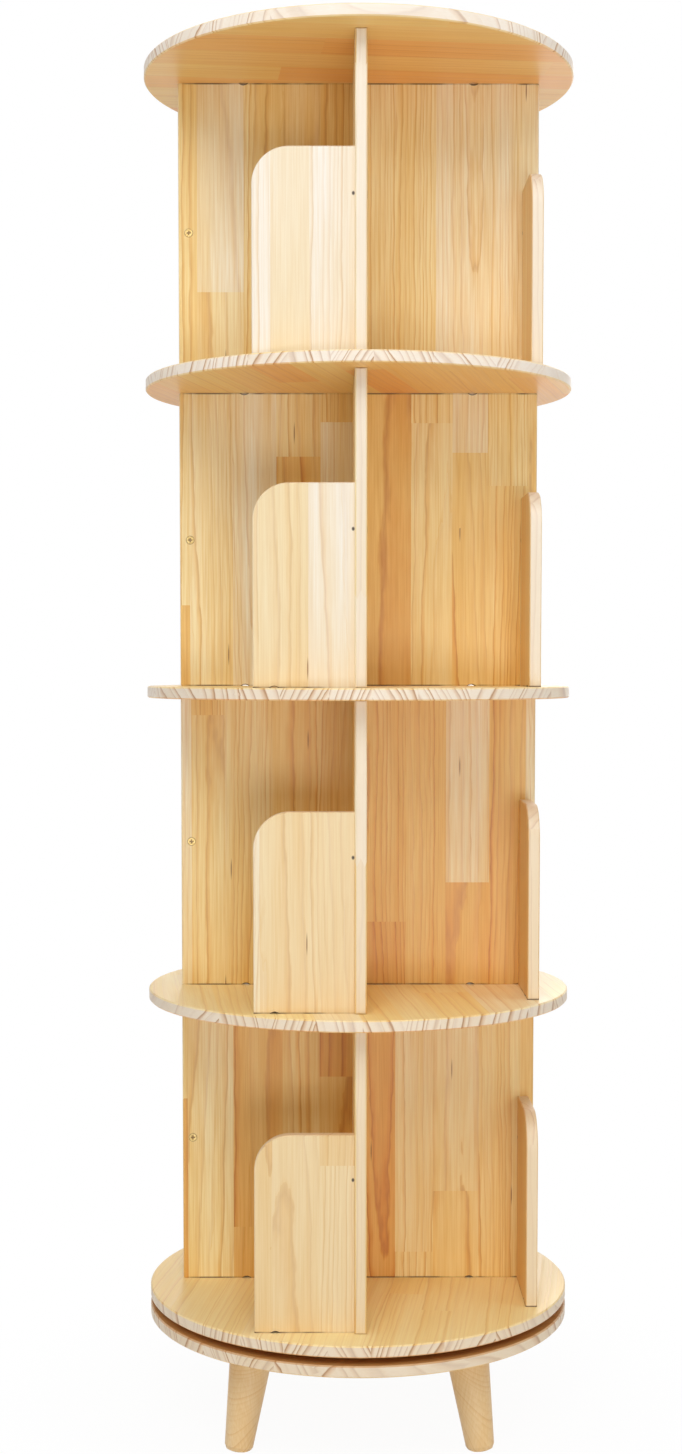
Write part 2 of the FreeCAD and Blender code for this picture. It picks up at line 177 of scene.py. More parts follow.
def satin_pine(tree, grain, tone, rings, softness, marks=()):
    """Ends a pine finish; grain: place across, through and along in mm; marks: share and colour of each."""
    late_wood, shown, season = rings
    layers = [(shown, late_wood)]
    for width, length, shade in ((CLOUD_WIDTH, CLOUD_LENGTH, CLOUD_SHADE),
                                 (FIBRE_WIDTH, FIBRE_LENGTH, FIBRE_SHADE)):
        stretched = add_node(tree, "Mapping", {
            "Vector": grain, "Scale": (1 / width, 1 / width, 1 / length)}).outputs[0]
        streaks = add_node(tree, "TexNoise", {
            "Vector": stretched, "Scale": 1.0, "Detail": 3.0}).outputs["Fac"]
        layers.append((softness, add_node(tree, "ValToRGB", {"Fac": streaks}, [
            (SHADED_BELOW, shade), (CLEAR_ABOVE, "#FFFFFF")]).outputs["Color"]))
    colour = tone
    for share, shade in layers:
        colour = add_node(tree, "Mix", {0: share, 6: colour, 7: shade},
                          data_type="RGBA", blend_type="MULTIPLY").outputs[2]
    # Marks: pitch streaks, and on uprights the glue lines and painted shadows.
    for share, mark in marks:
        colour = add_node(tree, "Mix", {0: share, 6: colour, 7: linear(mark)}, data_type="RGBA").outputs[2]
    relief = add_node(tree, "Math", {0: streaks, 1: FIBRE_RELIEF, 2: season},
                      operation="MULTIPLY_ADD").outputs[0]
    bump = add_node(tree, "Bump", {"Height": relief, "Strength": RELIEF_SHARE,
                                   "Distance": RELIEF_HEIGHT / MM}).outputs["Normal"]
    gloss = add_node(tree, "MapRange", {"Value": season, 3: EARLY_ROUGHNESS, 4: LATE_ROUGHNESS}).outputs[0]
    pine = add_node(tree, "BsdfPrincipled", {
        "Base Color": colour, "Roughness": gloss, "IOR": PINE_IOR, "Coat Weight": LACQUER,
        "Coat Roughness": LACQUER_ROUGHNESS, "Normal": bump})
    add_node(tree, "OutputMaterial", {"Surface": pine.outputs[0]})


print("fibres are drawn", FIBRE_WIDTH, "mm wide and", FIBRE_LENGTH, "mm long")

# %% [markdown]
# ## Staves and blocks
# Pine furniture panels aren't one plank. Short blocks are finger-jointed end to end into staves, and the
# staves are glued edge to edge, so every stave and block has its own tone and its own arch of rings. A
# Voronoi texture in one dimension cuts a line into cells of uneven length, and gives each cell a random
# colour: one across the board makes the staves, and one along each stave makes the blocks. A zigzag through
# the thickness gives the joint its fingers. Each board in the stack starts from another place in the
# pattern, so no two are alike.

# %% Staves and blocks
STAVE_WIDTH = 44.0                           # mm, about what the glued boards of such furniture have
STAVE_VARIETY, BLOCK_VARIETY = 0.6, 0.8      # how uneven the widths of staves and the lengths of blocks are
FINGER_WIDTH, FINGER_LENGTH = 3.8, 9.0       # mm
LEVEL_SHIFT = 7919.0                         # mm of pattern between one level of the stack and the next
STAVE_SHUFFLE = 977.0                        # blocks of pattern between one stave and the next


def lay_staves(tree, across, through, along, level, seed, block_length):
    """Where a place lies from the middle of its own stave and block, and the chances that these drew."""
    shift = add_node(tree, "Math", {0: level, 1: LEVEL_SHIFT, 2: seed}, operation="MULTIPLY_ADD").outputs[0]
    place = add_node(tree, "Math", {0: across, 1: shift}, operation="ADD").outputs[0]
    stave = add_node(tree, "TexVoronoi", {"W": place, "Scale": 1 / STAVE_WIDTH, "Randomness": STAVE_VARIETY},
                     voronoi_dimensions="1D").outputs
    stave_chance = add_node(tree, "SeparateColor", {"Color": stave["Color"]}).outputs
    zigzag = add_node(tree, "Math", {0: through, 1: FINGER_WIDTH}, operation="PINGPONG").outputs[0]
    jointed = add_node(tree, "Math", {0: zigzag, 1: FINGER_LENGTH / FINGER_WIDTH, 2: along},
                       operation="MULTIPLY_ADD").outputs[0]
    blocks = add_node(tree, "Math", {0: jointed, 1: 1 / block_length}, operation="MULTIPLY").outputs[0]
    shuffled = add_node(tree, "Math", {0: stave_chance[0], 1: STAVE_SHUFFLE, 2: blocks},
                        operation="MULTIPLY_ADD").outputs[0]
    block = add_node(tree, "TexVoronoi", {"W": shuffled, "Scale": 1.0, "Randomness": BLOCK_VARIETY},
                     voronoi_dimensions="1D").outputs
    return {
        "grain": add_node(tree, "CombineXYZ", {0: place, 1: through, 2: along}).outputs[0],
        "through": through,
        "from_middle": add_node(tree, "Math", {0: place, 1: stave["W"]}, operation="SUBTRACT").outputs[0],
        "from_joint": add_node(tree, "Math", {0: shuffled, 1: block["W"]}, operation="SUBTRACT").outputs[0],
        "stave_chance": stave_chance,
        "block_chance": add_node(tree, "SeparateColor", {"Color": block["Color"]}).outputs}


panel_width = to_mm(upright_high.x - upright_low.x)
print("a board", panel_width, "mm wide has about", round(panel_width / STAVE_WIDTH), "staves")

# %% [markdown]
# ## Where the pith lies
# Each block was sawn from somewhere in a trunk. Its pith lies a chance length to one side and a chance
# depth below, leans a little along the block, and the trunk sways, as trees do. With the pith far to the
# side the saw cut nearly along the radius, which gives straight lines on the face and steep bars on the end;
# with the pith below the face the same rings rise to tall arches.

# %% Trunk of each block
PITH_TILT = 25.0             # mm that a pith leans, at most, over the length of a block
SWAY = 9.0                   # mm between the two ends of a sway
SWAY_WIDTH, SWAY_DEPTH, SWAY_LENGTH = 40.0, 120.0, 180.0     # mm, the size of one sway
SWAY_DETAIL, SWAY_ROUGHNESS = 4.0, 0.62      # finer bends on each sway, and how strong they are
SLOW_GROWTH, FAST_GROWTH = 1.5, 0.55         # rings of slow and fast trunks, beside those of a usual one


def find_pith(tree, wood, aside, depth):
    """The place from the pith, in mm, for a pith that lies within these lengths aside and below."""
    near, far = aside
    draw = add_node(tree, "Math", {0: wood["block_chance"][1], 1: 0.5}, operation="SUBTRACT").outputs[0]
    side = add_node(tree, "Math", {0: draw}, operation="SIGN").outputs[0]
    at_least = add_node(tree, "Math", {0: side, 1: near, 2: wood["from_middle"]},
                        operation="MULTIPLY_ADD").outputs[0]
    sideways = add_node(tree, "Math", {0: draw, 1: 2 * (far - near), 2: at_least},
                        operation="MULTIPLY_ADD").outputs[0]
    tilt = add_node(tree, "MapRange", {
        "Value": wood["block_chance"][2], 3: -PITH_TILT, 4: PITH_TILT}).outputs[0]
    under = add_node(tree, "MapRange", {
        "Value": wood["stave_chance"][1], 3: depth[0], 4: depth[1]}).outputs[0]
    leaning = add_node(tree, "Math", {0: wood["from_joint"], 1: tilt, 2: under},
                       operation="MULTIPLY_ADD").outputs[0]
    below = add_node(tree, "Math", {0: wood["through"], 1: leaning}, operation="ADD").outputs[0]
    straight = add_node(tree, "CombineXYZ", {0: sideways, 1: below}).outputs[0]
    sway_place = add_node(tree, "Mapping", {"Vector": wood["grain"], "Scale": (
        1 / SWAY_WIDTH, 1 / SWAY_DEPTH, 1 / SWAY_LENGTH)}).outputs[0]
    sway = add_node(tree, "TexNoise", {"Vector": sway_place, "Scale": 1.0, "Detail": SWAY_DETAIL,
                                       "Roughness": SWAY_ROUGHNESS}).outputs["Color"]
    swayed = add_node(tree, "VectorMath", {0: sway, 1: (SWAY, SWAY, 0), 2: straight},
                      operation="MULTIPLY_ADD").outputs[0]
    growth = add_node(tree, "MapRange", {"Value": wood["stave_chance"][2], 3: FAST_GROWTH,
                                         4: SLOW_GROWTH}).outputs[0]
    return add_node(tree, "VectorMath", {0: swayed, "Scale": growth}, operation="SCALE").outputs[0]


print("a trunk sways by up to", SWAY / 2, "mm")

# %% [markdown]
# ## Marks of the tree
# Pine has pitch streaks, short dark lines where resin filled a split. A Voronoi texture gives each of its
# cells one place for a streak. Measured with a short rule across the grain and a long one along it, the
# distance to that place draws a thin line, and each cell's own chance leaves most of them clean.

# %% Pitch streaks
PITCH_ACROSS, PITCH_ALONG = 80.0, 210.0      # mm between the places where a board may have a streak
STREAK_WIDTH, STREAK_LENGTH = 0.9, 13.0      # mm, half of a streak
STREAK_CORE, STREAK_DEPTH = 0.4, 0.8         # share of a streak that is full dark, and how dark that is
CLEAN_SHARE = 0.72                           # share of the places that stay clean
PITCH_COLOUR = "#8A4F1E"


def pitch_streaks(tree, wood):
    """How dark the pitch streaks are at a place, and their colour."""
    flat = add_node(tree, "Mapping", {"Vector": wood["grain"], "Scale": (
        1 / PITCH_ACROSS, 0, 1 / PITCH_ALONG)}).outputs[0]
    cell = add_node(tree, "TexVoronoi", {"Vector": flat, "Scale": 1.0}).outputs
    aside = add_node(tree, "VectorMath", {0: flat, 1: cell["Position"]}, operation="SUBTRACT").outputs[0]
    reach = add_node(tree, "VectorMath", {0: aside, 1: (
        PITCH_ACROSS / STREAK_WIDTH, 0, PITCH_ALONG / STREAK_LENGTH)}, operation="MULTIPLY").outputs[0]
    span = add_node(tree, "VectorMath", {0: reach}, operation="LENGTH").outputs["Value"]
    streak = add_node(tree, "MapRange", {"Value": span, 1: STREAK_CORE, 2: 1.0, 3: STREAK_DEPTH,
                                         4: 0.0}).outputs[0]
    chance = add_node(tree, "SeparateColor", {"Color": cell["Color"]}).outputs[0]
    rare = add_node(tree, "Math", {0: chance, 1: CLEAN_SHARE}, operation="GREATER_THAN").outputs[0]
    return add_node(tree, "Math", {0: streak, 1: rare}, operation="MULTIPLY").outputs[0], PITCH_COLOUR


print("about", round(100 * (1 - CLEAN_SHARE)), "% of the places for a pitch streak have one")

# %% [markdown]
# ## Glue lines and painted shadows
# Where an upright meets a shelf there is a dark line, broken here and there: partly glue and partly painted
# shadow in the gap. A ring of painted shadow round the mouth of each dowel hole stands for the dark inside of
# the hole. On a stop, beside its upright, a near-black dot is painted shadow of the gap at the screw's hole,
# and on the far side a dark ring round the screw's head is painted shadow of its countersink. All of them
# follow from where the boards, holes and screws are, so a few lengths draw every one, on all four sides.

# %% Joint lines and painted mouth shadows
# Painted shadow: the joint line is partly glue and partly painted shadow in the gap between upright and
# shelf.
JOINT_CORE, JOINT_GAP, JOINT_DEPTH = 0.6, 1.8, 0.9   # mm that are full dark, mm in all, and how dark
JOINT_STRETCH = 45.0                         # mm over which a joint goes from tight to open
TIGHT_BELOW, OPEN_ABOVE = 0.42, 0.56         # noise below which a joint is tight, and above which it is open
TIGHT_LINE = 0.2                             # how much of the line a tight joint keeps
# Painted shadow: a dark ring round each dowel's mouth, for the dark inside of the hole.
MOUTH_RADIUS, MOUTH_LIFT = 6.1, 4.6          # mm, the scoop of a mouth, and its middle past the board's end
MOUTH_SHADOW_WIDTH, MOUTH_SHADOW_DEPTH = 0.9, 0.95       # mm of painted shadow, and how dark it is
JOINT_GLUE_AND_SHADOW_COLOUR, MOUTH_SHADOW_COLOUR = "#4A2A10", "#2E1A0A"


def tier_heights(tree, height):
    """Height above the shelf of a tier, and distance to the nearer end of the upright, in mm."""
    above = add_node(tree, "Math", {0: height, 1: tier_floor}, operation="SUBTRACT").outputs[0]
    up = add_node(tree, "Math", {0: above, 1: tier_pitch}, operation="MODULO").outputs[0]
    down = add_node(tree, "Math", {0: upright_height, 1: up}, operation="SUBTRACT").outputs[0]
    return up, add_node(tree, "Math", {0: up, 1: down}, operation="MINIMUM").outputs[0]


def glue_and_shadow_line(tree, across, to_end):
    """How dark the line between an upright and a shelf is, and its colour: partly glue, partly painted
    shadow.
    """
    line = add_node(tree, "MapRange", {"Value": to_end, 1: JOINT_CORE, 2: JOINT_GAP, 3: JOINT_DEPTH,
                                       4: 0.0}).outputs[0]
    unevenness = add_node(tree, "TexNoise", {"W": across, "Scale": 1 / JOINT_STRETCH},
                          noise_dimensions="1D").outputs["Fac"]
    kept = add_node(tree, "MapRange", {"Value": unevenness, 1: TIGHT_BELOW, 2: OPEN_ABOVE, 3: TIGHT_LINE,
                                       4: 1.0}).outputs[0]
    return add_node(tree, "Math", {0: line, 1: kept}, operation="MULTIPLY").outputs[0], JOINT_GLUE_AND_SHADOW_COLOUR


def painted_mouth_shadow(tree, aside, to_end, mouth):
    """How dark the painted shadow round a dowel's mouth is, and its colour; mouth: mm from the middle."""
    from_mouth = add_node(tree, "Mapping", {
        "Vector": add_node(tree, "CombineXYZ", {0: aside, 1: to_end}).outputs[0],
        "Location": (-mouth, MOUTH_LIFT, 0)}).outputs[0]
    ring = add_node(tree, "VectorMath", {0: from_mouth}, operation="LENGTH").outputs["Value"]
    return add_node(tree, "MapRange", {
        "Value": ring, 1: MOUTH_RADIUS + MOUTH_SHADOW_WIDTH / 2, 2: MOUTH_RADIUS + MOUTH_SHADOW_WIDTH,
        3: MOUTH_SHADOW_DEPTH, 4: 0.0}).outputs[0], MOUTH_SHADOW_COLOUR


print("mouth shadows are painted", MOUTH_SHADOW_WIDTH, "mm wide")

# %% Painted shadows at the screws
SCREW_HEIGHT = 155.0                         # mm above the shelf
# Painted shadow: a near-black dot on a stop beside its upright, for the gap at the screw's hole.
HOLE_SHADOW_SIZE, HOLE_SHADOW_DEPTH = (1.6, 2.2), 0.95     # mm, half the width and height of the painted hole shadow, and how dark
HOLE_SHADOW_CORE, HOLE_SHADOW_END = 0.6, 1.1               # shares of that size where it starts to fade, and where it ends
# Painted shadow: a dark ring round each screw head, for its countersink.
COUNTERSINK_SHADOW_SIZE, COUNTERSINK_SHADOW_DEPTH = (1.0, 1.0), 0.85     # mm; the painted ring of countersink shadow is as wide as it is high
COUNTERSINK_SHADOW_RADIUS, COUNTERSINK_SHADOW_WIDTH = 4.2, 0.7       # mm, under the head, and the ring round it
HOLE_SHADOW_COLOUR, COUNTERSINK_SHADOW_COLOUR = "#2A1608", "#7A5826"


def screw_shadow(tree, beside, up, size, fade, depth):
    """How dark a painted shadow at a screw is; beside: mm from the screw, across; fade: its two ends, in
    sizes.
    """
    from_screw = add_node(tree, "Mapping", {
        "Vector": add_node(tree, "CombineXYZ", {0: beside, 1: up}).outputs[0],
        "Location": (0, -SCREW_HEIGHT / size[1], 0), "Scale": (1 / size[0], 1 / size[1], 1)}).outputs[0]
    reach = add_node(tree, "VectorMath", {0: from_screw}, operation="LENGTH").outputs["Value"]
    return add_node(tree, "MapRange", {"Value": reach, 1: fade[0], 2: fade[1], 3: depth, 4: 0.0}).outputs[0]


def glue_and_shadow_marks(tree, axes, order, mouth, screw):
    """The glue lines and painted shadows on an upright board; mouth, and on stops screw: mm from the middle,
    across.
    """
    up, to_end = tier_heights(tree, axes["Z"])
    across = axes[order[0]]
    aside = add_node(tree, "Math", {0: across}, operation="ABSOLUTE").outputs[0]
    beside = add_node(tree, "Math", {0: aside, 1: screw or stop_setback}, operation="SUBTRACT").outputs[0]
    # Painted shadow: on a stop, a dark dot at the screw's hole; on an upright, a dark ring round the head.
    if screw:
        mark = screw_shadow(tree, beside, up, HOLE_SHADOW_SIZE, (HOLE_SHADOW_CORE, HOLE_SHADOW_END), HOLE_SHADOW_DEPTH), HOLE_SHADOW_COLOUR
    else:
        countersink_shadow_fade = (COUNTERSINK_SHADOW_RADIUS, COUNTERSINK_SHADOW_RADIUS + COUNTERSINK_SHADOW_WIDTH)
        mark = screw_shadow(tree, beside, up, COUNTERSINK_SHADOW_SIZE, countersink_shadow_fade, COUNTERSINK_SHADOW_DEPTH), COUNTERSINK_SHADOW_COLOUR
    return [glue_and_shadow_line(tree, across, to_end), painted_mouth_shadow(tree, aside, to_end, mouth), mark]


print("screws sit", SCREW_HEIGHT, "mm above their shelf")

# %% [markdown]
# ## Place and facing in a board
# A finish has to know where in its board a place lies: which level of the stack it is on, and how far it is
# across, through and along the staves. What it shows also depends on which way its surface faces: a flat
# face has its tone and the full figure, a sanded edge is paler and plainer, and end grain is pale with steep
# brown bars. The Normal output of Texture Coordinate is the facing in the piece's own frame, so the same
# finish serves the front, the back and the rims.

# %% Place and facing
LAYERS_IN_TIER = 16          # thin layers of the stack, each with one round board in it or none
LAYER_LEAD = 4.0             # mm of air under a round board in its layer
layer_start, layer_pitch = stack_start - LAYER_LEAD, tier_pitch / LAYERS_IN_TIER


def place_in_board(tree, axes, order, upright, inset):
    """Level in the stack, and the place across, through and along the staves in mm."""
    start, pitch = (stack_start, tier_pitch) if upright else (layer_start, layer_pitch)
    levels = add_node(tree, "Math", {0: axes["Z"], 1: 1 / pitch, 2: -start / pitch},
                      operation="MULTIPLY_ADD").outputs[0]
    level = add_node(tree, "Math", {0: levels}, operation="FLOOR").outputs[0]
    across, through, along = (axes[axis] for axis in order)
    if not upright:
        in_layer = add_node(tree, "Math", {0: levels}, operation="FRACT").outputs[0]
        through = add_node(tree, "Math", {0: in_layer, 1: pitch, 2: -pitch / 2},
                           operation="MULTIPLY_ADD").outputs[0]
    elif inset:
        from_axis = add_node(tree, "Math", {0: through}, operation="ABSOLUTE").outputs[0]
        through = add_node(tree, "Math", {0: from_axis, 1: inset}, operation="SUBTRACT").outputs[0]
    return level, across, through, along


def find_facing(tree, order, turned):
    """How far a place is flat face, how far it is end grain, and how far it looks up."""
    normal = add_node(tree, "Mapping", {"Vector": add_node(tree, "TexCoord", {}).outputs["Normal"],
                                        "Rotation": turned}, vector_type="VECTOR").outputs[0]
    upwards = add_node(tree, "SeparateXYZ", {"Vector": normal}).outputs["Z"]
    shares = add_node(tree, "SeparateXYZ", {
        "Vector": add_node(tree, "VectorMath", {0: normal}, operation="ABSOLUTE").outputs[0]}).outputs
    return shares[order[1]], shares[order[2]], upwards


print("a layer of the stack is", layer_pitch, "mm")

# %% [markdown]
# ## Tone of a block
# Each block draws its tone by chance from a ramp that runs from the palest pine to the deepest. The draw
# moves along the ramp with the height, so the tones are paler higher up the stack. The upper face of each
# round board is painted paler, for the light that falls on it, and the lower face deeper and more orange,
# for the shade under it. Edges have a ramp of their own, painted paler than the faces for the bright light
# that they catch, and paler still higher up for the light that falls off lower down.

# %% Tones of faces and edges
PLAIN_TIER = 2.0                             # tiers above the floor where height leaves a tone as drawn
# Painted light and shade: the upper face of a round board is paler than its stave, the lower face deeper.
PAINTED_LIGHT_FACE, PAINTED_SHADE_FACE = -0.4, 0.55            # how far the two sides of a round board are from its own tone
EDGE_LEAST, EDGE_SPREAD = 0.3, 0.3           # the palest tone of an edge, and what chance adds to it
# Painted light: edges are paler for each tier up, for the light that falls off lower down.
EDGE_PAINTED_FALLOFF = 0.25                            # how much paler an edge is for each tier up


def pick_tone(tree, wood, kind, height, on_face, lie):
    """Colour of a place, and how deep its block's tone is; lie: the painted light or shade that its side of a
    round board adds.
    """
    tier = add_node(tree, "Math", {0: height, 1: 1 / tier_pitch, 2: -PLAIN_TIER},
                    operation="MULTIPLY_ADD").outputs[0]
    chance, spread = wood["block_chance"][0], kind["spread"]
    drawn = add_node(tree, "MapRange", {"Value": chance, 3: 0.5 - spread / 2, 4: 0.5 + spread / 2}).outputs[0]
    depth = add_node(tree, "Math", {0: tier, 1: -kind["paler_upwards"], 2: drawn},
                     operation="MULTIPLY_ADD").outputs[0]
    if lie is not None:
        depth = add_node(tree, "Math", {0: depth, 1: lie}, operation="ADD").outputs[0]
    face_tone = add_node(tree, "ValToRGB", {"Fac": depth}, kind["tones"]).outputs["Color"]
    by_chance = add_node(tree, "Math", {0: chance, 1: EDGE_SPREAD, 2: EDGE_LEAST},
                         operation="MULTIPLY_ADD").outputs[0]
    edge_depth = add_node(tree, "Math", {0: tier, 1: -EDGE_PAINTED_FALLOFF, 2: by_chance},
                          operation="MULTIPLY_ADD").outputs[0]
    edge_tone = add_node(tree, "ValToRGB", {"Fac": edge_depth}, kind["edge_tones"]).outputs["Color"]
    tone = add_node(tree, "Mix", {0: on_face, 6: edge_tone, 7: face_tone}, data_type="RGBA").outputs[2]
    return tone, depth


print("the painted lit side of a round board is", -PAINTED_LIGHT_FACE, "of the ramp paler than its stave")

# %% [markdown]
# ## Glued boards
# Now a board's finish can be put together from its place, its facing, its tone, its rings, its marks and its
# painted shadows.
# Pale blocks are sapwood with a soft figure and deep ones have a bolder figure, so the strength of the rings
# follows the tone. One function serves every board, and a few words and sizes for each kind of board say
# how it differs.

# %% Glued pine
EDGE_FIGURE, EDGE_SOFTNESS = 0.25, 0.2       # a sanded edge shows less figure and fewer streaks than a face


def glued_pine(name, order, kind, seed, turn=0.0, mouth=None, screw=None, faces=(PAINTED_LIGHT_FACE, PAINTED_SHADE_FACE)):
    """Edge-glued pine; order: the axes across, through and along the staves; faces: painted light and shade,
    upper and lower.
    """
    finish, tree, place = new_finish(name)
    turned = (0, 0, math.radians(turn))
    in_mm = add_node(tree, "Mapping", {"Vector": place, "Rotation": turned, "Scale": (MM, MM, MM)}).outputs[0]
    axes = add_node(tree, "SeparateXYZ", {"Vector": in_mm}).outputs
    upright = mouth is not None
    level, across, through, along = place_in_board(tree, axes, order, upright, kind["inset"])
    wood = lay_staves(tree, across, through, along, level, seed, kind["block"])
    on_face, on_end, upwards = find_facing(tree, order, turned)
    # Painted light and shade: the upper face of a round board paler, the lower one deeper.
    lie = None if upright else add_node(tree, "MapRange", {
        "Value": upwards, 1: 1.0, 2: -1.0, 3: faces[0], 4: faces[1]}).outputs[0]
    tone, depth = pick_tone(tree, wood, kind, axes["Z"], on_face, lie)

    flat_figure = add_node(tree, "MapRange", {"Value": on_face, 3: EDGE_FIGURE, 4: kind["figure"]}).outputs[0]
    figure = add_node(tree, "Math", {0: on_end, 1: kind["end_figure"] - EDGE_FIGURE, 2: flat_figure},
                      operation="MULTIPLY_ADD").outputs[0]
    softness = add_node(tree, "MapRange", {"Value": on_face, 3: EDGE_SOFTNESS, 4: kind["figure"]}).outputs[0]
    pale, deep = kind["figure_by_tone"]
    strength = add_node(tree, "MapRange", {"Value": depth, 3: pale, 4: deep}).outputs[0]
    toned_figure = add_node(tree, "Math", {0: figure, 1: strength}, operation="MULTIPLY").outputs[0]
    trunk = find_pith(tree, wood, kind["aside"], kind["depth"])
    rings = yearly_rings(tree, trunk, kind["ring_width"], toned_figure, on_face)
    marks = []
    if upright:
        marks = [pitch_streaks(tree, wood)] + glue_and_shadow_marks(tree, axes, order, mouth, screw)
    satin_pine(tree, wood["grain"], tone, rings, softness, marks)
    return finish


print("glued boards are put together from", STAVE_WIDTH, "mm staves")

# %% [markdown]
# ## Uprights and stops
# The uprights are the golden boards of the bookcase, with the boldest figure and the widest range of tones,
# and the stops in front of them are cut from paler, plainer pine. Each kind is a short list: the tones of
# its faces and edges, how far height and chance move them, how far out a stop stands, the length of a block,
# the strength and width of the rings, and how far aside and how deep the pith lies.

# %% Pine of uprights and stops
# Painted highlight: edges are paler than the faces, for the bright light that they catch.
EDGE_TONES = [(0.0, "#F3E8D8"), (1.0, "#E8CEA0")]
# Sanded panels: a warm gold with clear lines, and pale staves beside deep ones.
PANEL = {"tones": [(0.0, "#FCF5E0"), (1.0, "#EDBF70"), (0.35, "#FBEBB8"), (0.7, "#F6DA95")],
         "edge_tones": EDGE_TONES, "paler_upwards": 0.16, "spread": 1.0, "inset": 0.0, "block": 800.0,
         "figure": 1.0, "end_figure": 0.8, "figure_by_tone": (0.5, 1.3), "ring_width": 5.0,
         "aside": (0.0, 75.0), "depth": (24.0, 92.0)}
# Sanded stops: a creamy, quiet surface that stands out pale against the panels.
STOP = {"tones": [(0.0, "#F6F0E8"), (1.0, "#ECD2A2"), (0.5, "#F1E0BC")],
        "edge_tones": EDGE_TONES, "paler_upwards": 0.24, "spread": 0.6, "inset": stop_setback, "block": 900.0,
        "figure": 0.5, "end_figure": 0.55, "figure_by_tone": (1.0, 1.0), "ring_width": 5.0,
        "aside": (0.0, 75.0), "depth": (12.0, 82.0)}
# Stops at the sides: the same, a little more golden, painted for the warm shade on their inner faces.
SHADE_PAINTED_SIDE_STOP = {**STOP, "tones": [(0.0, "#F2E0BA"), (1.0, "#E2B878"), (0.5, "#EBCB92")]}
PANEL_MOUTH, STOP_MOUTH = 121.0, 85.0        # mm from the middle of the bookcase, across
hole_shadow_place = to_mm(upright_high.y) + HOLE_SHADOW_SIZE[0]    # mm; the painted hole shadow touches the face of the upright
# Where in the endless pattern each finish starts, chosen so that pale and deep staves lie as on real boards.
SEED = {"panel_across": 1971.0, "panel_deep": 313.0, "stop_across": 13726.0, "stop_deep": 137.0}     # mm
panel_finish = {
    "X": glued_pine("sanded_pine_panel_across", "XYZ", PANEL, seed=SEED["panel_across"], mouth=PANEL_MOUTH),
    "Y": glued_pine("sanded_pine_panel_deep", "YXZ", PANEL, seed=SEED["panel_deep"], mouth=PANEL_MOUTH)}
stop_finish = {
    "X": glued_pine("sanded_pine_stop_across", "XYZ", STOP, seed=SEED["stop_across"], mouth=STOP_MOUTH,
                    screw=hole_shadow_place),
    "Y": glued_pine("sanded_pine_stop_deep", "YXZ", SHADE_PAINTED_SIDE_STOP, seed=SEED["stop_deep"], mouth=STOP_MOUTH,
                    screw=hole_shadow_place)}
print("glued boards:", [finish.name for finish in (*panel_finish.values(), *stop_finish.values())],
      "with painted hole shadows", hole_shadow_place, "mm from the middle")

# %% [markdown]
# ## Round boards
# The discs are sawn from the same glued boards, and each was turned to suit itself before it was fixed, so
# the grain of one runs front to back and that of the next at a slant. Turning the pattern round the middle
# of the disc gives each its own direction, and the sawn rim shows end grain in front and long grain at the
# sides by itself. The upper face of the base board is painted a dull brown: painted shade for the narrow,
# dark gap above it, which is all that shows of it.

# %% Round pine boards
# Sawn discs: smooth golden faces with a faint figure, and pale rims with steep brown bars.
# The pale edge tones of the rims are painted highlight, as on the uprights.
BOARD = {"tones": [(0.0, "#FFEFC8"), (1.0, "#F9C076"), (0.12, "#FFEFBA"), (0.4, "#FEE49F"), (0.7, "#FBD68C")],
         "edge_tones": [(0.0, "#F5EBDF"), (1.0, "#E9D7BC")], "paler_upwards": 0.1, "spread": 0.5,
         "inset": 0.0, "block": 560.0, "figure": 0.45, "end_figure": 1.5, "figure_by_tone": (1.0, 1.0),
         "ring_width": 7.0, "aside": (90.0, 200.0), "depth": (20.0, 90.0)}
# The base board: the same, with its upper face painted a dull brown for the shade in the gap.
GAP_SHADED_BASE = {**BOARD, "tones": [(0.0, "#FEE8AE"), (1.0, "#CC9C60"), (0.5, "#FBD68C")]}
GAP_SHADE_FACE = 0.8               # how far the painted shade of the upper face is from the tone of its stave
DISC_SEED = 6682.0           # mm, where in the pattern the discs start; each one's turn moves it a little
BOARD_TURNS = {"base_board": 62, "deck_board": 8, "shelf_board_1": -6, "shelf_board_2": 4,
               "shelf_board_3": 14, "top_board": 84}     # degrees
board_finish = {}
for board, turn in BOARD_TURNS.items():
    # The base board's upper face takes the painted gap shade.
    is_base = board == "base_board"
    board_finish[board] = glued_pine(
        "sawn_pine_" + board, "XZY", GAP_SHADED_BASE if is_base else BOARD, turn=turn, seed=DISC_SEED + turn,
        faces=(GAP_SHADE_FACE, PAINTED_LIGHT_FACE) if is_base else (PAINTED_LIGHT_FACE, PAINTED_SHADE_FACE))
print("round boards:", list(board_finish))

# %% [markdown]
# ## Turned legs
# Each leg is turned from one block, so it has no staves: only the rings of that block, cut across by the
# taper. The four legs lean out along the diagonals. Taking the absolute value of x and y folds them onto
# one leg, and turning the coordinates by the lean stands that leg upright, so the grain follows its axis.

# %% Turned pine legs
LEG_LEAN = 11.0              # degrees
LEG_PITH = 95.0              # mm from the middle of the bookcase to the pith of the leg's block, each way
LEG_APART = (14.0, 23.0, 0)  # mm of pattern that a leg is moved by, out of its own corner
LEG_SWAY, LEG_SWAY_WIDTH, LEG_SWAY_LENGTH = 8.0, 40.0, 110.0     # mm
LEG_TONES = [(0.3, "#ECCE9E"), (0.7, "#F0D8B0")]
LEG_CLOUDS = 0.6             # clouds of tone in the length of one sway
LEG_RING_WIDTH, LEG_FIGURE, LEG_SOFTNESS = 4.0, 0.35, 0.5    # mm, and how much of rings and streaks shows


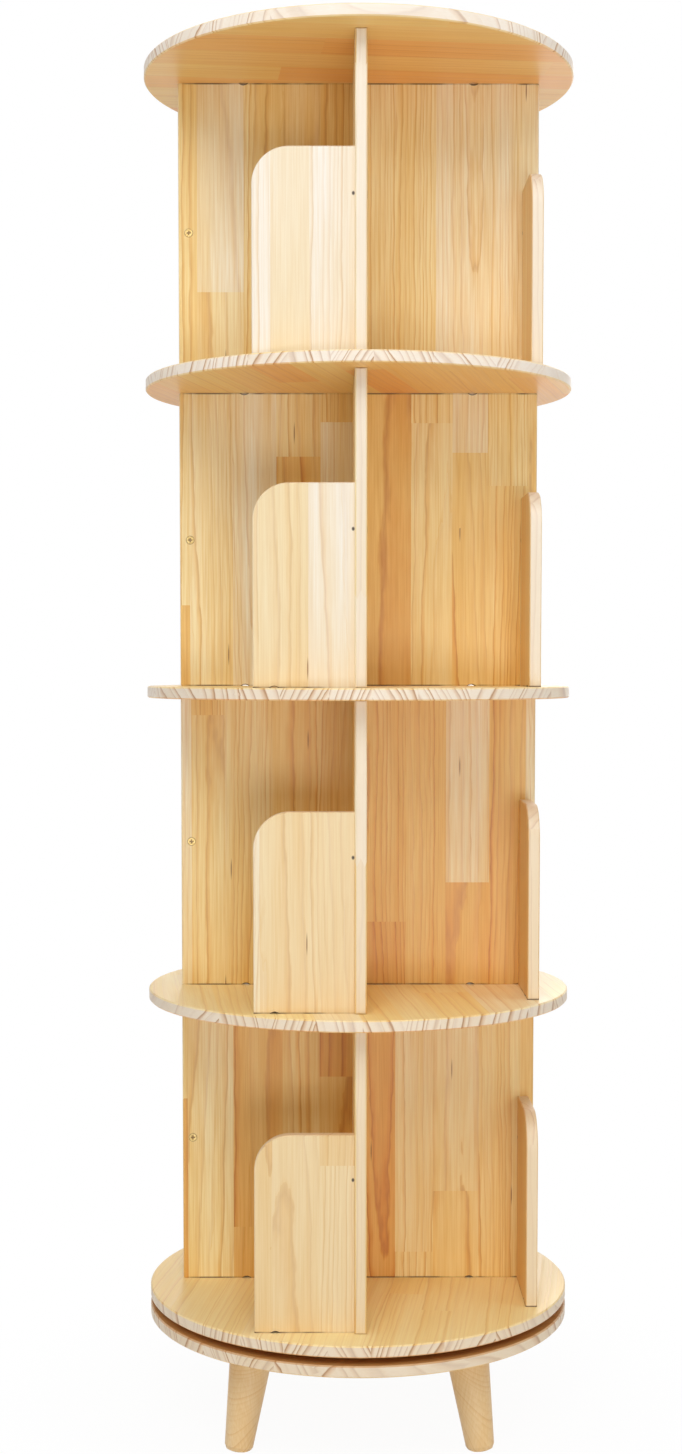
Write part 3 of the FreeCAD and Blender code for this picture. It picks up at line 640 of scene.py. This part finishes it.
def turned_pine(name):
    """Pine of the legs, turned and sanded: an even, slightly deeper gold, with fine lines along the leg."""
    finish, tree, place = new_finish(name)
    in_mm = add_node(tree, "Mapping", {"Vector": place, "Scale": (MM, MM, MM)}).outputs[0]
    folded = add_node(tree, "VectorMath", {0: in_mm}, operation="ABSOLUTE").outputs[0]
    upright = add_node(tree, "VectorRotate", {
        "Vector": folded, "Center": (0, 0, leg_height), "Axis": (1, -1, 0),
        "Angle": math.radians(LEG_LEAN)}).outputs[0]
    side = add_node(tree, "VectorMath", {0: in_mm}, operation="SIGN").outputs[0]
    own = add_node(tree, "VectorMath", {0: side, 1: LEG_APART, 2: upright},
                   operation="MULTIPLY_ADD").outputs[0]
    sway_place = add_node(tree, "Mapping", {"Vector": own, "Scale": (
        1 / LEG_SWAY_WIDTH, 1 / LEG_SWAY_WIDTH, 1 / LEG_SWAY_LENGTH)}).outputs[0]
    sway = add_node(tree, "TexNoise", {"Vector": sway_place, "Scale": 1.0, "Detail": 1.0}).outputs["Color"]
    off_pith = add_node(tree, "Mapping", {"Vector": own, "Location": (-LEG_PITH, -LEG_PITH, 0)}).outputs[0]
    trunk = add_node(tree, "VectorMath", {0: sway, 1: (LEG_SWAY, LEG_SWAY, 0), 2: off_pith},
                     operation="MULTIPLY_ADD").outputs[0]
    clouds = add_node(tree, "TexNoise", {"Vector": sway_place, "Scale": LEG_CLOUDS}).outputs["Fac"]
    tone = add_node(tree, "ValToRGB", {"Fac": clouds}, LEG_TONES).outputs["Color"]
    satin_pine(tree, own, tone, yearly_rings(tree, trunk, LEG_RING_WIDTH, LEG_FIGURE), LEG_SOFTNESS)
    return finish


leg_finish = turned_pine("turned_pine_leg")
print("legs stand", round(leg_height), "mm high")

# %% [markdown]
# ## Metal and plastic of the bearing
# The turntable bearing is two pressed plates of zinc-plated steel, with steel balls in a nylon cage between
# them. Hardly any of it shows in the narrow dark gap, but each piece still has the surface of the real one.
# All three are one kind of finish: a grain of a given size that moves the shade, the gloss and the relief
# a little.

# %% Bearing finishes
GRAIN_STOPS = (0.35, 0.65)   # noise at which the dark and the light shade are reached
GLOSS_SWING = 0.06           # how far the roughness of a grain is from the usual one
GRAIN_HEIGHT = 0.2           # mm


def grained_finish(name, dark, light, grain, shader, relief):
    """A finish whose shade and gloss vary over grains of the given size in millimetres."""
    finish, tree, place = new_finish(name)
    noise = add_node(tree, "TexNoise", {"Vector": place, "Scale": MM / grain, "Detail": 3.0}).outputs["Fac"]
    colour = add_node(tree, "ValToRGB", {"Fac": noise}, zip(GRAIN_STOPS, (dark, light))).outputs["Color"]
    gloss = add_node(tree, "MapRange", {"Value": noise, 3: shader["Roughness"] - GLOSS_SWING,
                                        4: shader["Roughness"] + GLOSS_SWING}).outputs[0]
    bump = add_node(tree, "Bump", {"Height": noise, "Strength": relief,
                                   "Distance": GRAIN_HEIGHT / MM}).outputs["Normal"]
    surface = add_node(tree, "BsdfPrincipled", {**shader, "Base Color": colour, "Roughness": gloss,
                                                "Normal": bump})
    add_node(tree, "OutputMaterial", {"Surface": surface.outputs[0]})
    return finish


# Zinc plate: a soft grey shine with a faint mottle.
zinc_finish = grained_finish("zinc_plated_steel", "#A9ADB2", "#C6C9CC", 6.0,
                             {"Metallic": 1.0, "Roughness": 0.36}, 0.05)
# Hardened and ground balls: bright, with small sharp lights.
ball_finish = grained_finish("ground_ball_steel", "#C2C4C7", "#D6D8DA", 3.0,
                             {"Metallic": 1.0, "Roughness": 0.14}, 0.01)
# Moulded nylon: near black and dull, with a fine matt grain.
nylon_finish = grained_finish("moulded_black_nylon", "#17181A", "#222427", 0.8,
                              {"IOR": 1.53, "Roughness": 0.5}, 0.2)
print("bearing finishes:", [finish.name for finish in (zinc_finish, ball_finish, nylon_finish)])

# %% [markdown]
# ## Put the finishes on the solids
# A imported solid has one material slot, named for what it is made of. Its piece's name says which way its
# staves run: the full panels and the front and back stops stand across the bookcase, and the half panels
# and the side stops run front to back.

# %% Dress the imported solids
def finish_for(node):
    """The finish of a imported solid, by its name."""
    if node in board_finish:
        return board_finish[node]
    if node.startswith("leg_"):
        return leg_finish
    if node.startswith("full_panel"):
        return panel_finish["X"]
    if "half_panel" in node:
        return panel_finish["Y"]
    if "stop" in node:
        return stop_finish["X" if node.startswith(("front", "back")) else "Y"]
    return {"ball_cage": nylon_finish, "bearing_balls": ball_finish}.get(node, zinc_finish)


for node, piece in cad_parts.items():
    piece.data.materials.clear()
    piece.data.materials.append(finish_for(node))
print("dressed", len(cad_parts), "solids")

# %% [markdown]
# ## Stop screws
# One screw per stop goes through the upright into the end of the stop. Its head is countersunk with a cross
# recess, so the screw starts from a square grid of faces: the outer points are pushed out to a circle, the
# middle cross is pressed in, and the rim is drawn down and in to a cone and closed. Lathe and cutter would
# do the same in steel; here it leaves a clean head with few faces, which is enough for something this small.

# %% One countersunk head
HEAD_RADIUS, HEAD_PROUD, HEAD_DEPTH, CONE_TAPER = 4.0, 0.25, 2.4, 0.45       # mm, and a share of the radius
CROSS_HALF, CROSS_REACH, CROSS_DEPTH, CROSS_TAPER = 0.75, 2.4, 1.9, 0.75     # mm, and a share of its size
GRID_LINES = (-HEAD_RADIUS, -CROSS_REACH, -CROSS_HALF, CROSS_HALF, CROSS_REACH, HEAD_RADIUS)
GRID_CELLS = len(GRID_LINES) - 1


def screw_head(mesh):
    """Adds a head to mesh with its face up at z = 0, in millimetres, and returns its vertices."""
    made = bmesh.ops.create_grid(mesh, x_segments=GRID_CELLS, y_segments=GRID_CELLS, size=1.0)["verts"]
    for vert in made:
        column, row = (round((place + 1) * GRID_CELLS / 2) for place in vert.co.xy)
        vert.co = Vector((GRID_LINES[column], GRID_LINES[row], 0.0))
    faces = {face for vert in made for face in vert.link_faces}
    rim = [edge for edge in {e for f in faces for e in f.edges} if edge.is_boundary]
    for vert in {v for edge in rim for v in edge.verts}:
        vert.co = vert.co.normalized() * HEAD_RADIUS
    cross = [f for f in faces if f.calc_center_median().length < CROSS_REACH
             and min(abs(f.calc_center_median().x), abs(f.calc_center_median().y)) < CROSS_HALF]
    sunk = bmesh.ops.extrude_face_region(mesh, geom=cross)["geom"]
    bmesh.ops.delete(mesh, geom=cross, context="FACES_ONLY")
    sunk_verts = [v for v in sunk if isinstance(v, bmesh.types.BMVert)]
    for vert in sunk_verts:
        vert.co = Vector((vert.co.x * CROSS_TAPER, vert.co.y * CROSS_TAPER, -CROSS_DEPTH))
    cone = bmesh.ops.extrude_edge_only(mesh, edges=rim)["geom"]
    cone_verts = [v for v in cone if isinstance(v, bmesh.types.BMVert)]
    for vert in cone_verts:
        vert.co = Vector((vert.co.x * CONE_TAPER, vert.co.y * CONE_TAPER, -HEAD_DEPTH))
    bmesh.ops.holes_fill(mesh, edges=[edge for edge in mesh.edges if edge.is_boundary])
    return made + sunk_verts + cone_verts


trial = bmesh.new()
screw_head(trial)
print("a screw head has", len(trial.faces), "faces")
trial.free()

# %% [markdown]
# ## Drive the screws
# The front stop's screw sits on the far face of the front upright, in line with the middle of the stop's
# thickness. The other three sides repeat it by quarter turns, and every tier repeats the four. Each head is
# turned to face out, moved to its place and scaled to metres in its mesh, so that the piece itself stays at
# the origin.

# %% Place the heads
WINGS = ("front", "right", "back", "left")
QUARTER = math.radians(90)
# Yellow zinc: a warm, slightly cloudy shine.
yellow_zinc = grained_finish("yellow_zinc_plated_screw", "#B89A5C", "#D8BF86", 1.5,
                             {"Metallic": 1.0, "Roughness": 0.38}, 0.05)


def make_piece(name, mesh, finish, body):
    """Makes a mesh into a piece that rides on a body and takes its finish from a slot."""
    bmesh.ops.recalc_face_normals(mesh, faces=mesh.faces)
    data = bpy.data.meshes.new(name)
    mesh.to_mesh(data)
    mesh.free()
    data.materials.append(finish)
    piece = bpy.data.objects.new(name, data)
    bpy.context.scene.collection.objects.link(piece)
    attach(piece, body)


for tier in range(1, tiers + 1):
    shelf_height = to_mm(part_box(f"front_stop_{tier}")[0].z)
    upright_face = to_mm(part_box(f"front_half_panel_{tier}")[1].x)
    face_out = Matrix.Rotation(QUARTER, 4, "Y")
    at_front = Matrix.Translation((upright_face + HEAD_PROUD, -stop_setback, shelf_height + SCREW_HEIGHT))
    for quarter, wing in enumerate(WINGS):
        mesh = bmesh.new()
        verts = screw_head(mesh)
        around = Matrix.Rotation(QUARTER * quarter, 4, "Z")
        bmesh.ops.transform(mesh, matrix=Matrix.Scale(1 / MM, 4) @ around @ at_front @ face_out, verts=verts)
        make_piece(f"stop_screw_{wing}_{tier}", mesh, yellow_zinc, "turntable")
print("drove", tiers * len(WINGS), "screws,", stop_setback, "mm from the middle")

# %% [markdown]
# ## Camera
# The picture was taken from about two metres, from a little above the middle of the bookcase, looking
# slightly down. The lens is a normal one, and a small upward shift frames the whole height without tilting
# the camera back up.

# %% Camera
SENSOR, LENS = 36.0, 49.02                   # mm
UPWARD_SHIFT = 0.0402                        # share of the picture's longer side
CAMERA_PLACE = (-0.0308, -2.1266, 0.8101)    # metres
CAMERA_TILT, CAMERA_PAN = 86.47, -0.334      # degrees; level is a tilt of 90
camera_data = bpy.data.cameras.new("camera")
camera_data.sensor_width = SENSOR
camera_data.lens = LENS
camera_data.shift_y = UPWARD_SHIFT
camera = bpy.data.objects.new("camera", camera_data)
camera.location = CAMERA_PLACE
camera.rotation_euler = (math.radians(CAMERA_TILT), 0.0, math.radians(CAMERA_PAN))
bpy.context.scene.collection.objects.link(camera)
bpy.context.scene.camera = camera
print("camera at", [round(v, 3) for v in camera.location])

# %% [markdown]
# ## White studio
# The floor is a pale matt sheet. Near the bookcase it keeps a trace of soft shadow; further out it fades to
# the white of the background, for rays that come from the camera or that are mirrored in metal, so no horizon
# shows. The world does the same: it is white to the eye, and lights the wood only as a dim sky would.

# %% Floor
FADE_START, FADE_END = 0.1, 0.5              # metres from the middle of the floor
NEAR_WHITE = 0.95                            # how white the floor is before the fade; after it, all white
FLOOR_RADIUS, FLOOR_SIDES, FLOOR_COLOUR = 6.0, 64, "#F4F4F4"     # metres


def white_for_eye(tree):
    """1 for rays from the camera and for mirrored or refracted ones, 0 for the light on the object."""
    path = add_node(tree, "LightPath", {}).outputs
    seen = add_node(tree, "Math", {0: path["Is Camera Ray"], 1: path["Is Glossy Ray"]}, operation="MAXIMUM")
    return add_node(tree, "Math", {0: seen.outputs[0], 1: path["Is Transmission Ray"]},
                    operation="MAXIMUM").outputs[0]


# Matt paper: no shine, a soft grey shadow, and white beyond it.
floor_finish, tree, place = new_finish("white_studio_floor")
reach = add_node(tree, "VectorMath", {0: place}, operation="LENGTH").outputs["Value"]
far = add_node(tree, "MapRange", {"Value": reach, 1: FADE_START, 2: FADE_END, 3: NEAR_WHITE},
               interpolation_type="SMOOTHSTEP").outputs[0]
fade = add_node(tree, "Math", {0: far, 1: white_for_eye(tree)}, operation="MULTIPLY").outputs[0]
matt = add_node(tree, "BsdfDiffuse", {"Color": linear(FLOOR_COLOUR)}).outputs[0]
glow = add_node(tree, "Emission", {"Color": linear("#FFFFFF"), "Strength": 1.0}).outputs[0]
paper = add_node(tree, "MixShader", {0: fade, 1: matt, 2: glow}).outputs[0]
add_node(tree, "OutputMaterial", {"Surface": paper})
sheet = bmesh.new()
bmesh.ops.create_circle(sheet, cap_ends=True, segments=FLOOR_SIDES, radius=FLOOR_RADIUS)
floor_data = bpy.data.meshes.new("studio_floor")
sheet.to_mesh(floor_data)
sheet.free()
floor_data.materials.append(floor_finish)
floor = bpy.data.objects.new("studio_floor", floor_data)
bpy.context.scene.collection.objects.link(floor)
print("floor fades to white from", FADE_START, "to", FADE_END, "m")

# %% World
SKY_LEVEL = 0.25
world = bpy.data.worlds.new("white_studio")
world.use_nodes = True
tree = world.node_tree
tree.nodes.clear()
ambient = add_node(tree, "Background", {"Color": linear("#FFFFFF"), "Strength": SKY_LEVEL}).outputs[0]
white = add_node(tree, "Background", {"Color": linear("#FFFFFF"), "Strength": 1.0}).outputs[0]
backdrop = add_node(tree, "MixShader", {0: white_for_eye(tree), 1: ambient, 2: white}).outputs[0]
add_node(tree, "OutputWorld", {"Surface": backdrop})
bpy.context.scene.world = world
bpy.context.scene.view_settings.view_transform = "Standard"
print("backdrop ready, sky level", SKY_LEVEL)

# %% [markdown]
# ## Lamps
# One large soft box high in front gives most of the light, and a smaller one near the floor lifts the
# undersides of the shelves. Two weak cards at the sides, one overhead and one behind keep the other sides
# from going dull. The insides of the tiers stay a little darker and warmer, from light that bounces between
# the boards.

# %% Soft boxes
LAMPS = {"key": ((-0.4, -2.9, 3.35), 2.2, 67.0), "fill": ((0.4, -3.0, 0.15), 0.9, 25.0),
         "top": ((0.0, -0.5, 3.4), 1.2, 8.0),
         "left_card": ((-1.9, -0.8, 1.6), 1.2, 5.5), "right_card": ((1.9, -0.8, 1.6), 1.2, 7.5),
         "back": ((0.6, 3.0, 1.6), 2.0, 30.0)}       # place and size in metres, power in watts
LAMP_AIM = Vector((0.0, 0.0, 0.75))
for lamp_name, (spot, side, power) in LAMPS.items():
    lamp_data = bpy.data.lights.new(lamp_name, "AREA")
    lamp_data.shape = "SQUARE"
    lamp_data.size = side
    lamp_data.energy = power
    lamp = bpy.data.objects.new(lamp_name, lamp_data)
    lamp.location = spot
    lamp.rotation_euler = (LAMP_AIM - Vector(spot)).to_track_quat("-Z", "Y").to_euler()
    bpy.context.scene.collection.objects.link(lamp)
print("lamps:", list(LAMPS))
